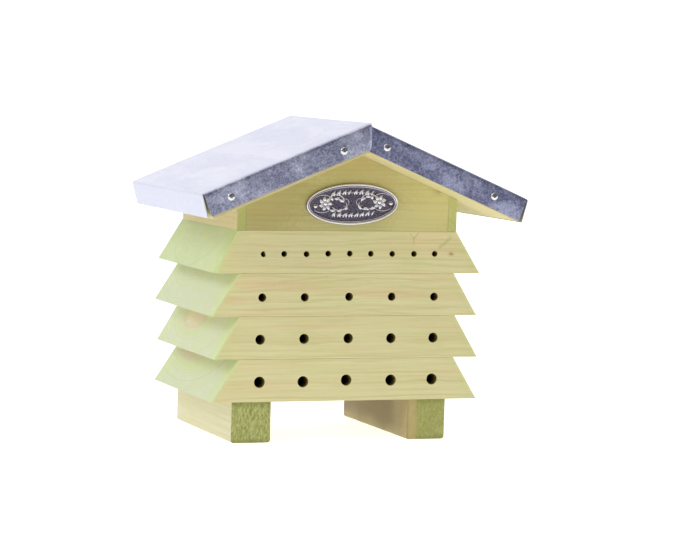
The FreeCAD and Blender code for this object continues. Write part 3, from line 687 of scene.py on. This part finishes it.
def foot_outline(x0, x1):
    pts = []
    for cx, a0 in ((x0 + FOOT_R, 180), (x1 - FOOT_R, 270)):
        for k in range(6):
            a = math.radians(a0 + 18 * k)
            pts.append((cx + FOOT_R * math.cos(a), FOOT_R + FOOT_R * math.sin(a)))
    return pts + [(x1, FOOT_H - 0.05), (x0, FOOT_H - 0.05)]


plank("foot_left", foot_outline(*FOOT_LEFT), FOOT_FRONT, FOOT_BACK, ["foot_rail_left"], [pine_foot], bevel=0.5, wear=0.3, seed=6.0)
plank("foot_right", foot_outline(*FOOT_RIGHT), FOOT_FRONT, FOOT_BACK, ["foot_rail_right"], [pine_foot_right], bevel=0.5, wear=0.3, seed=7.0)

gx0, gx1 = ATTIC_LEFT + SIDE_T, ATTIC_RIGHT - SIDE_T
gable = [(gx0 + 0.02, ATTIC_Z + 0.02), (gx1 - 0.02, ATTIC_Z + 0.02), (gx1 - 0.02, under_z(gx1) - 0.05), (0, under_z(0) - 0.05), (gx0 + 0.02, under_z(gx0) - 0.05)]
plank("gable_front", gable, FRONT, FRONT + GABLE_T, ["gable_board_front"], [pine_gable], bevel=0.15, wear=0.09, seed=8.0, step=(7.0, 6.0))
plank("gable_back", gable, ATTIC_BACK - GABLE_T, ATTIC_BACK, ["gable_board_back"], [pine_gable_back], bevel=0.15, wear=0.09, seed=9.0, step=(7.0, 6.0))
plank("attic_left", [(ATTIC_LEFT, ATTIC_Z + 0.05), (gx0 - 0.05, ATTIC_Z + 0.05), (gx0 - 0.05, under_z(gx0) - 0.05), (ATTIC_LEFT, under_z(ATTIC_LEFT) - 0.05)],
      FRONT, ATTIC_BACK, ["attic_side_left"], [pine_side], bevel=0.2, wear=0.12, seed=10.0, step=(3.0, 8.0))
plank("attic_right", [(gx1 + 0.05, ATTIC_Z + 0.05), (ATTIC_RIGHT, ATTIC_Z + 0.05), (ATTIC_RIGHT, under_z(ATTIC_RIGHT) - 0.05), (gx1 + 0.05, under_z(gx1) - 0.05)],
      FRONT, ATTIC_BACK, ["attic_side_right"], [pine_side_right], bevel=0.2, wear=0.12, seed=11.0, step=(3.0, 8.0))

eave = (BOARD_HALF, TOP_Z - BOARD_HALF * TAN)
eave_low = (eave[0] - BOARD_T * SIN, eave[1] - BOARD_T * COS)
roof = [(0.03, UNDER_Z), eave_low, eave, (0.03, TOP_Z)]
plank("roof_board_r", roof, BOARD_FRONT, BOARD_BACK, ["roof_board_right"], [pine_roof_right], bevel=0.4, wear=0.2, seed=12.0)
plank("roof_board_l", [(-x, z) for x, z in reversed(roof)], BOARD_FRONT, BOARD_BACK, ["roof_board_left"], [pine_roof_left], bevel=0.4, wear=0.2, seed=13.0)


# ------------------------------------------------------------------ zinc trays
def tray(name, side, ridge_z, front, back, node, mat, seed, lap):
    """One sheet folded over a roof board: a slope, a flap down each gable edge and one down the eave, with real bend radii."""
    es, en = Vector((side * COS, 0, -SIN)), Vector((side * SIN, 0, COS))
    top = Vector((0, 0, ridge_z))
    R = 2.0
    s_eave = TRAY_HALF / COS
    s_flap = s_eave - FLAP_GAP
    turn = math.pi / 2 - FLAP_OPEN
    s_bend = s_eave - R * math.tan(turn / 2)
    # rows down the slope, as (point on the outer face, outward normal, s)
    rows = []
    if lap:
        starts = [-LAP_END_X / COS + v for v in (0.0, 0.5, 1.0, 1.6, 2.4)]
    else:
        # the ridge flange of the lower sheet turns over the ridge under the lap
        other, on = Vector((-side * COS, 0, -SIN)), Vector((-side * SIN, 0, COS))
        for v in (LAP_SLOPE, 8.0, 4.0, 1.5):
            rows.append((top + other * v, on, -v))
        rows.append((top.copy(), Vector((0, 0, 1)), 0.0))
        starts = [1.5]
    n_s = 58
    first = starts[-1]
    svals = starts[:-1] + [first + (s_flap - first) * k / n_s for k in range(n_s + 1)]
    for s in svals:
        rows.append((top + es * s, en.copy(), s))
    flap_rows = len(rows)
    for s in (s_flap + (s_bend - s_flap) * 0.5, s_bend):
        if s > s_flap + 0.01:
            rows.append((top + es * s, en.copy(), s))
    centre = top + es * s_bend - en * R
    for k in range(1, 6):
        th = turn * k / 5
        nrm = es * math.sin(th) + en * math.cos(th)
        rows.append((centre + nrm * R, nrm, s_bend + R * th))
    down = es * math.cos(turn) - en * math.sin(turn)
    nrm = es * math.sin(turn) + en * math.cos(turn)
    start = centre + nrm * R
    length = TRAY_FLAP - R * math.tan(turn / 2)
    for k in range(1, 9):
        rows.append((start + down * (length * k / 8), nrm, s_bend + R * turn + length * k / 8))
    # columns across: front flap, bend, slope, bend, back flap, as (y, depth below the outer face, part of the flap)
    cols = []
    for k in range(8):
        cols.append((front, TRAY_FLAP - (TRAY_FLAP - R) * k / 7, 1))
    for k in range(1, 5):
        th = math.pi / 2 * k / 5
        cols.append((front + R - R * math.cos(th), R - R * math.sin(th), 1))
    n_y = 44
    for k in range(n_y + 1):
        cols.append((front + R + (back - front - 2 * R) * k / n_y, 0.0, 0))
    for k in range(4, 0, -1):
        th = math.pi / 2 * k / 5
        cols.append((back - R + R * math.cos(th), R - R * math.sin(th), 2))
    for k in range(7, -1, -1):
        cols.append((back, TRAY_FLAP - (TRAY_FLAP - R) * k / 7, 2))
    bm = bmesh.new()
    grid = {}
    s_last = rows[-1][2]
    for j, (pt, nr, s) in enumerate(rows):
        for i, (y, depth, part) in enumerate(cols):
            if part and j >= flap_rows:
                continue
            # square below the slope, but upright at the ridge, where the flap's end is cut or turned
            p = Vector((pt.x, y, pt.z - depth * (0.86 if s < -0.5 else 1.0) / COS))
            if s > starts[-1]:
                f = min(1.0, (s - starts[-1]) / (16.0 - starts[-1]))
                q = pt - nr * depth
                p = p.lerp(Vector((q.x, y, q.z)), f * f * (3 - 2 * f) if j < flap_rows else 1.0)
            # a hand-folded sheet is never flat: it swells a little between its screws
            big = 0.5 + 0.5 * wob(p.x * 0.012, y * 0.016, 0.0, seed)
            small = wob(p.x * 0.06, y * 0.05, p.z * 0.06, seed + 3)
            if part == 0 and j < flap_rows:
                edge = min(1.0, (s_eave - s) / 12.0, max(0.0, (s + 1.0)) / 6.0)
                p += nr * max(0.0, (0.35 * big + 0.06 * small) * edge)
            elif part == 0:
                f = min(1.0, max(0.0, (s - s_bend) / 3.0))
                # below the corner the eave flap is cut a little past the gable flap's end
                mid_y = 0.5 * (front + back)
                half = 0.5 * (back - front) - R
                p.y = mid_y + (p.y - mid_y) * (half + (R - 0.6) * min(1.0, max(0.0, (s - s_bend) / 2.0))) / half
                yy = (y - front) / (back - front)
                dents = 0.0
                for c, w, h in ((0.16, 0.035, 0.9), (0.30, 0.05, 0.5), (0.55, 0.06, 0.55), (0.66, 0.03, 0.8), (0.86, 0.05, 0.4)):
                    dents += h * math.exp(-((yy - c) / w) ** 2)
                fold = math.exp(-((s - (s_bend + R)) / 3.0) ** 2)
                p -= nr * (0.42 * dents * fold)
                p += nr * (0.18 * small - 0.15 - 0.2 * big * (s - s_bend) / (s_last - s_bend)) * f
            else:
                sign = -1 if part == 1 else 1
                low = depth / TRAY_FLAP
                p.y += sign * (0.14 * big + 0.10 * small) * min(1.0, low * 2)
                if lap and s < 1.5:
                    # the cut end of the lap is sprung open a little
                    p.y += sign * 0.85 * ((1.5 - s) / 2.04) ** 1.2 * (1.0 + 0.12 * small)
            grid[j, i] = bm.verts.new(p)
    for j in range(len(rows) - 1):
        for i in range(len(cols) - 1):
            k = [(j, i), (j, i + 1), (j + 1, i + 1), (j + 1, i)]
            if all(c in grid for c in k):
                f = [grid[c] for c in k]
                bm.faces.new(f if side > 0 else list(reversed(f)))
    bmesh.ops.recalc_face_normals(bm, faces=bm.faces)
    bm.normal_update()
    up = max(bm.faces, key=lambda f: f.calc_area())
    if up.normal.z < 0:
        bmesh.ops.reverse_faces(bm, faces=bm.faces)
    for f in bm.faces:
        f.smooth = True
    me = scaled_mesh(bm, name)
    obj = make_object(name, me, [mat, zinc_cut])
    m = obj.modifiers.new("sheet", "SOLIDIFY")
    m.thickness = SHEET * K
    m.offset = -1.0
    m.use_even_offset = True
    m.use_rim = True
    m.material_offset_rim = 1
    applied(obj)
    obj.data.set_sharp_from_angle(angle=math.radians(50))
    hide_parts(node)
    return obj


tray("zinc_tray_l", -1, Z_LEFT, LAP_FRONT, LAP_BACK, "zinc_tray_left", zinc_left, 1.0, True)
tray("zinc_tray_r", 1, Z_RIGHT, LAP_FRONT + SHEET, LAP_BACK - SHEET, "zinc_tray_right", zinc_right, 2.0, False)


# ------------------------------------------------------------------ screws and pins
def cross_depth(x, z, turn, arm, width, depth, reach):
    """How deep a pressed cross recess is at a point of the head."""
    c, s = math.cos(turn), math.sin(turn)
    u, v = c * x + s * z, -s * x + c * z
    d = min(max(abs(u) - arm, abs(v) - width), max(abs(v) - arm, abs(u) - width))
    edge = min(1.0, max(0.0, -d / 0.18))
    return depth * edge * max(0.0, 1.0 - 0.45 * math.hypot(x, z) / reach)


def domed_head(bm, x, y, z, out, r, h, turn, recess=True, shank=(1.45, 6.0)):
    """A domed head at (x, y, z) facing out (-1 front, 1 back), its recess pressed in, with a short length of its shank."""
    nr, na = 22, 64
    rings = []
    for k in range(nr + 1):
        f = k / nr
        rad = r * math.sin(f * math.pi / 2) ** 0.9
        ring = []
        for i in range(na):
            a = 2 * math.pi * i / na
            hx, hz = rad * math.cos(a), rad * math.sin(a)
            lift = h * (0.28 + 0.72 * math.cos(f * math.pi / 2) ** 0.9) if k < nr else 0.0
            if recess and f < 0.85:
                lift -= cross_depth(hx, hz, math.radians(turn), r * 0.43, r * 0.12, h * 0.60, r)
            ring.append(bm.verts.new((x + hx, y + out * lift, z + hz)))
        rings.append(ring)
    for k in range(nr):
        for i in range(na):
            f = bm.faces.new((rings[k][i], rings[k][(i + 1) % na], rings[k + 1][(i + 1) % na], rings[k + 1][i]))
            f.smooth = True
            c = f.calc_center_median()
            if recess and cross_depth(c.x - x, c.z - z, math.radians(turn), r * 0.43, r * 0.12, 1.0, r) > 0.30:
                f.material_index = 1
    sr, sl = shank
    base = [bm.verts.new((x + sr * math.cos(2 * math.pi * i / na), y, z + sr * math.sin(2 * math.pi * i / na))) for i in range(na)]
    tip = [bm.verts.new((x + sr * math.cos(2 * math.pi * i / na), y - out * sl, z + sr * math.sin(2 * math.pi * i / na))) for i in range(na)]
    for i in range(na):
        j = (i + 1) % na
        bm.faces.new((rings[-1][i], rings[-1][j], base[j], base[i]))
        bm.faces.new((base[i], base[j], tip[j], tip[i]))
    bm.faces.new(tip)


for label, back_side in (("front", False), ("rear", True)):
    bm = bmesh.new()
    for side, x, z, turn in TRAY_SCREWS:
        y = (LAP_BACK if side < 0 else LAP_BACK - SHEET) if back_side else (LAP_FRONT if side < 0 else LAP_FRONT + SHEET)
        domed_head(bm, x, y, z, 1 if back_side else -1, 3.3, 1.86, turn)
    bmesh.ops.remove_doubles(bm, verts=bm.verts, dist=1e-4)
    bmesh.ops.recalc_face_normals(bm, faces=bm.faces)
    obj = make_object("tray_screws_" + label + "_heads", scaled_mesh(bm, "tray_screws"), [screw_metal, recess_shade_metal])
    obj.data.set_sharp_from_angle(angle=math.radians(50))
    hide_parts("tray_screws_" + label)

bm = bmesh.new()
for x, z in PLAQUE_PINS:
    domed_head(bm, x, FRONT - PLAQUE_T, z, -1, 1.7, 0.9, 0.0, recess=False, shank=(0.8, 6.0))
bmesh.ops.remove_doubles(bm, verts=bm.verts, dist=1e-4)
bmesh.ops.recalc_face_normals(bm, faces=bm.faces)
obj = make_object("plaque_pin_heads", scaled_mesh(bm, "plaque_pins"), [screw_metal])
obj.data.set_sharp_from_angle(angle=math.radians(50))
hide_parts("plaque_pins")


# ------------------------------------------------------------------ plaque
def plaque_point(u, v, lift):
    """A point of the plaque: u to the right, v up, lift towards the viewer from the plate's ground."""
    c, s = math.cos(PLAQUE_TILT), math.sin(PLAQUE_TILT)
    return Vector((PLAQUE_X + c * u - s * v, FRONT - PLAQUE_T - lift, PLAQUE_Z + s * u + c * v))


def rim_height(d):
    """Height above the ground at a distance d in from the plate's edge: an outer bead, a groove, a thin inner bead."""
    outer = 0.86 * math.exp(-((d - 0.85) / 0.78) ** 4)
    inner = 0.62 * math.exp(-((d - 2.55) / 0.32) ** 2)
    return max(outer, inner, 0.0)


def leaf(bm, u, v, angle, length, width, height, notch=0.25):
    """A small domed leaf with a pressed midrib, lying at (u, v) and pointing along angle."""
    nl, nw = 10, 8
    c, s = math.cos(angle), math.sin(angle)
    grid = []
    for i in range(nl + 1):
        f = i / nl
        half = width / 2 * math.sin(math.pi * f ** 0.8) ** 0.8 if 0 < i < nl else 0.001
        row = []
        for j in range(nw + 1):
            g = -1 + 2 * j / nw
            x, y = f * length, g * half + 0.12 * length * math.sin(math.pi * f)
            dome = height * math.sqrt(max(0.0, 1 - g * g)) * (math.sin(math.pi * min(max(f, 0.02), 0.98)) ** 0.4)
            dome -= height * notch * math.exp(-(g / 0.22) ** 2)
            row.append(bm.verts.new(plaque_point(u + c * x - s * y, v + s * x + c * y, dome - 0.03 if 0 < j < nw and 0 < i < nl else -0.05)))
        grid.append(row)
    for i in range(nl):
        for j in range(nw):
            f = bm.faces.new((grid[i][j], grid[i + 1][j], grid[i + 1][j + 1], grid[i][j + 1]))
            f.smooth = True


def stem(bm, pts, width, height):
    """A half-round raised line through points (u, v)."""
    prev = None
    n = len(pts)
    for i in range(n):
        a, b = pts[max(i - 1, 0)], pts[min(i + 1, n - 1)]
        t = Vector((b[0] - a[0], b[1] - a[1])).normalized()
        nx, ny = -t.y, t.x
        taper = 1.0 - 0.45 * abs(2 * i / (n - 1) - 1) ** 3
        row = []
        for k in range(6):
            th = math.pi * k / 5
            o, l = math.cos(th) * width / 2 * taper, math.sin(th) * height * taper
            row.append(bm.verts.new(plaque_point(pts[i][0] + nx * o, pts[i][1] + ny * o, l - 0.03)))
        if prev:
            for k in range(5):
                f = bm.faces.new((prev[k], row[k], row[k + 1], prev[k + 1]))
                f.smooth = True
        prev = row


def arc_pts(cu, cv, r, a0, a1, n=18, squash=1.0):
    return [(cu + r * math.cos(math.radians(a0 + (a1 - a0) * k / (n - 1))), cv + squash * r * math.sin(math.radians(a0 + (a1 - a0) * k / (n - 1)))) for k in range(n)]


def flower(bm, u, v, r, petals, turn):
    for k in range(petals):
        leaf(bm, u + 0.22 * r * math.cos(turn + 2 * math.pi * k / petals), v + 0.22 * r * math.sin(turn + 2 * math.pi * k / petals),
             turn + 2 * math.pi * k / petals - 0.12, r * 0.8, r * 0.52, 0.62, 0.35)
    n = 20
    rings = []
    for k in range(5):
        rr = 0.26 * r * math.sin(math.pi / 2 * k / 4)
        hh = 0.35 + 0.45 * math.cos(math.pi / 2 * k / 4)
        rings.append([bm.verts.new(plaque_point(u + rr * math.cos(2 * math.pi * i / n) + 1e-4 * i, v + rr * math.sin(2 * math.pi * i / n), hh)) for i in range(n)])
    for a, b in zip(rings, rings[1:]):
        for i in range(n):
            f = bm.faces.new((a[i], a[(i + 1) % n], b[(i + 1) % n], b[i]))
            f.smooth = True


bm = bmesh.new()
A, B = PLAQUE_W / 2, PLAQUE_H / 2
na = 220
depths = [0.0, 0.08, 0.22, 0.42, 0.65, 0.9, 1.1, 1.3, 1.5, 1.75, 1.95, 2.1, 2.25, 2.4, 2.55, 2.75, 3.0, 3.4]
rings = []
rings.append([(A, B, -PLAQUE_T)] )
loops = []
for d in depths:
    loops.append(("rim", d))
for k in range(1, 13):
    loops.append(("ground", k / 13))
verts = []
ring = []
for i in range(na):
    a = 2 * math.pi * i / na
    ring.append(bm.verts.new(plaque_point(A * math.cos(a), B * math.sin(a), -PLAQUE_T)))
verts.append(ring)
for kind, d in loops:
    ring = []
    for i in range(na):
        a = 2 * math.pi * i / na
        if kind == "rim":
            u, v = (A - d) * math.cos(a), (B - d) * math.sin(a)
            lift = rim_height(d) if d > 0 else 0.1
        else:
            u, v = (A - 3.4) * (1 - d) * math.cos(a), (B - 3.4) * (1 - d) * math.sin(a)
            lift = 0.05 * wob(u * 0.6, v * 0.6, 0, 4)
        ring.append(bm.verts.new(plaque_point(u, v, lift)))
    verts.append(ring)
for a, b in zip(verts, verts[1:]):
    for i in range(na):
        f = bm.faces.new((a[i], a[(i + 1) % na], b[(i + 1) % na], b[i]))
        f.smooth = True
mid = bm.verts.new(plaque_point(0, 0, 0.0))
for i in range(na):
    f = bm.faces.new((verts[-1][i], verts[-1][(i + 1) % na], mid))
    f.smooth = True
bm.faces.new(list(reversed(verts[0])))
# relief: a flower head on each side on curling stems, and a spray of leaves above and below
for sgn in (-1, 1):
    flower(bm, sgn * 24.5, 1.2, 6.4, 7, 0.3 if sgn > 0 else 0.8)
    stem(bm, [(sgn * u, v) for u, v in arc_pts(15.0, 3.2, 7.2, 200, 20, 20, 0.72)], 0.9, 0.62)
    stem(bm, [(sgn * u, v) for u, v in arc_pts(12.0, -0.6, 6.6, 150, 345, 20, 0.62)], 0.9, 0.62)
    stem(bm, [(sgn * u, v) for u, v in arc_pts(27.5, -1.0, 8.6, 215, 330, 18, 0.62)], 0.6, 0.5)
    stem(bm, [(sgn * u, v) for u, v in arc_pts(26.5, 2.6, 8.8, 35, 150, 18, 0.66)], 0.6, 0.5)
    stem(bm, [(sgn * u, v) for u, v in arc_pts(7.0, 1.6, 3.6, 30, 300, 16, 0.9)], 0.55, 0.5)
    for u, v, a, l in ((7.2, 2.6, 25, 6.0), (11.5, 6.0, -8, 5.6), (9.5, -3.4, -24, 5.6), (15.5, -4.6, 6, 5.6), (5.0, -1.2, -60, 4.2), (17.6, 3.4, 70, 4.2)):
        ang = math.radians(a) if sgn > 0 else math.pi - math.radians(a)
        leaf(bm, sgn * u, v, ang, l, 2.5, 0.66)
for row, (v0, curve, lean) in enumerate(((9.9, -0.0036, 66), (-9.3, 0.0036, 62))):
    for k in range(15):
        u = -18.0 + 36.0 * k / 14 + 0.5 * wob(k * 1.7, row * 3.0, 0.0, 3)
        if row == 0 and k in (7,):
            continue
        v = v0 + curve * u * u
        leaf(bm, u - 1.2, v - 2.1, math.radians(lean + 24 * (k % 2) - 12), 5.2 + 0.6 * wob(k * 2.1, row, 0, 8), 1.6, 0.72, 0.3)
    stem(bm, [(-19.0 + 38.0 * k / 24, v0 + curve * (-19 + 38 * k / 24) ** 2 + 0.25 * math.sin(k * 0.9)) for k in range(25)], 0.6, 0.4)
bmesh.ops.recalc_face_normals(bm, faces=bm.faces)
obj = make_object("plaque_oval", scaled_mesh(bm, "plaque_oval"), [plaque_mat])
obj.data.set_sharp_from_angle(angle=math.radians(60))
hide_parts("oval_plaque")

# ------------------------------------------------------------------ carried-over screws
for node in ("foot_screws", "tier_screws_lower", "tier_screws_middle", "tier_screws_upper", "attic_screws", "roof_board_screws"):
    o = bpy.data.objects.get(node)
    if o is None:
        for cand in bpy.data.objects:
            if cand.get("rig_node") == node or cand.name.endswith(node):
                o = cand
                break
    if o is not None:
        for s in o.material_slots:
            s.material = screw_metal

# ------------------------------------------------------------------ stage
floor_mesh = bpy.data.meshes.new("floor")
bm = bmesh.new()
prof = [(-1.6, 0.0), (1.2, 0.0)]
for k in range(1, 13):
    a = math.pi / 2 * k / 12
    prof.append((1.2 + 1.2 * math.sin(a), 1.2 - 1.2 * math.cos(a)))
prof.append((2.4, 4.0))
rows = [[bm.verts.new((x, y, z)) for y, z in prof] for x in (-5.0, 5.0)]
for j in range(len(prof) - 1):
    f = bm.faces.new((rows[0][j], rows[1][j], rows[1][j + 1], rows[0][j + 1]))
    f.smooth = True
bm.to_mesh(floor_mesh)
bm.free()
floor = bpy.data.objects.new("floor", floor_mesh)
bpy.context.scene.collection.objects.link(floor)
ft = Tree("floor_white")
ft.bsdf.inputs["Base Color"].default_value = (0.92, 0.92, 0.92, 1)
ft.bsdf.inputs["Roughness"].default_value = 0.9
ft.bsdf.inputs["Specular IOR Level"].default_value = 0.0
ft.bsdf.inputs["Emission Color"].default_value = (1, 1, 1, 1)
ft.bsdf.inputs["Emission Strength"].default_value = 0.68
floor_mesh.materials.append(ft.mat)
floor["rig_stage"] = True

world = bpy.data.worlds.new("studio")
bpy.context.scene.world = world
world.use_nodes = True
wn = world.node_tree
wn.nodes.clear()
wo = wn.nodes.new("ShaderNodeOutputWorld")
wb = wn.nodes.new("ShaderNodeBackground")
tc = wn.nodes.new("ShaderNodeTexCoord")
dot = wn.nodes.new("ShaderNodeVectorMath")
dot.operation = "DOT_PRODUCT"
d = Vector((0.42, -0.88, -0.15)).normalized()
dot.inputs[1].default_value = tuple(d)
mr = wn.nodes.new("ShaderNodeMapRange")
mr.interpolation_type = "SMOOTHSTEP"
mr.inputs["From Min"].default_value = 0.15
mr.inputs["From Max"].default_value = 0.90
mr.inputs["To Min"].default_value = 0.55
mr.inputs["To Max"].default_value = 0.09
wn.links.new(tc.outputs["Generated"], dot.inputs[0])
wn.links.new(dot.outputs["Value"], mr.inputs["Value"])
wn.links.new(mr.outputs["Result"], wb.inputs["Strength"])
wb.inputs["Color"].default_value = (0.97, 0.98, 1.0, 1)
wn.links.new(wb.outputs[0], wo.inputs["Surface"])


def area(name, at, target, size, power, colour=(1, 1, 1)):
    light = bpy.data.lights.new(name, "AREA")
    light.shape, light.size, light.size_y = "RECTANGLE", size[0], size[1]
    light.energy, light.color = power, colour
    o = bpy.data.objects.new(name, light)
    bpy.context.scene.collection.objects.link(o)
    o.location = at
    o.rotation_euler = (Vector(target) - Vector(at)).to_track_quat("-Z", "Y").to_euler()
    return o


area("key", (-2.0, -0.9, 1.7), (0, 0, 0.12), (1.1, 1.1), 17.6, (1.0, 0.985, 0.95))
area("top", (-0.4, -0.5, 2.2), (0, 0, 0.1), (2.0, 2.0), 6.8)

scene = bpy.context.scene
scene.view_settings.view_transform = "Standard"
scene.view_settings.look = "None"
scene.view_settings.exposure = 0.0
scene.view_settings.gamma = 1.0

# ------------------------------------------------------------------ camera
cam = bpy.data.cameras.new("camera")
cam.sensor_fit = "HORIZONTAL"
cam.sensor_width = 36.0
cam.lens = 2796.0 / 700.0 * 36.0
cam.shift_x, cam.shift_y = 19.0 / 700.0, 4.0 / 700.0
cam.clip_start, cam.clip_end = 0.05, 50.0
right = Vector((0.93702, -0.34814, 0.02829)).normalized()
fwd = Vector((0.34928, 0.93359, -0.08007))
fwd = (fwd - right * fwd.dot(right)).normalized()
up = right.cross(fwd)
co = bpy.data.objects.new("camera", cam)
scene.collection.objects.link(co)
m = Matrix.Identity(4)
for i, v in enumerate((right, up, -fwd)):
    for k in range(3):
        m[k][i] = v[k]
m.translation = Vector((-0.8427, -2.2703, 0.3285))
co.matrix_world = m
scene.camera = co


def plain(value):
    try:
        return [plain(v) for v in value]
    except TypeError:
        return float(value)


bpy.context.view_layer.update()
{"cad": plain(cad_box), "visual": plain(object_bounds())}
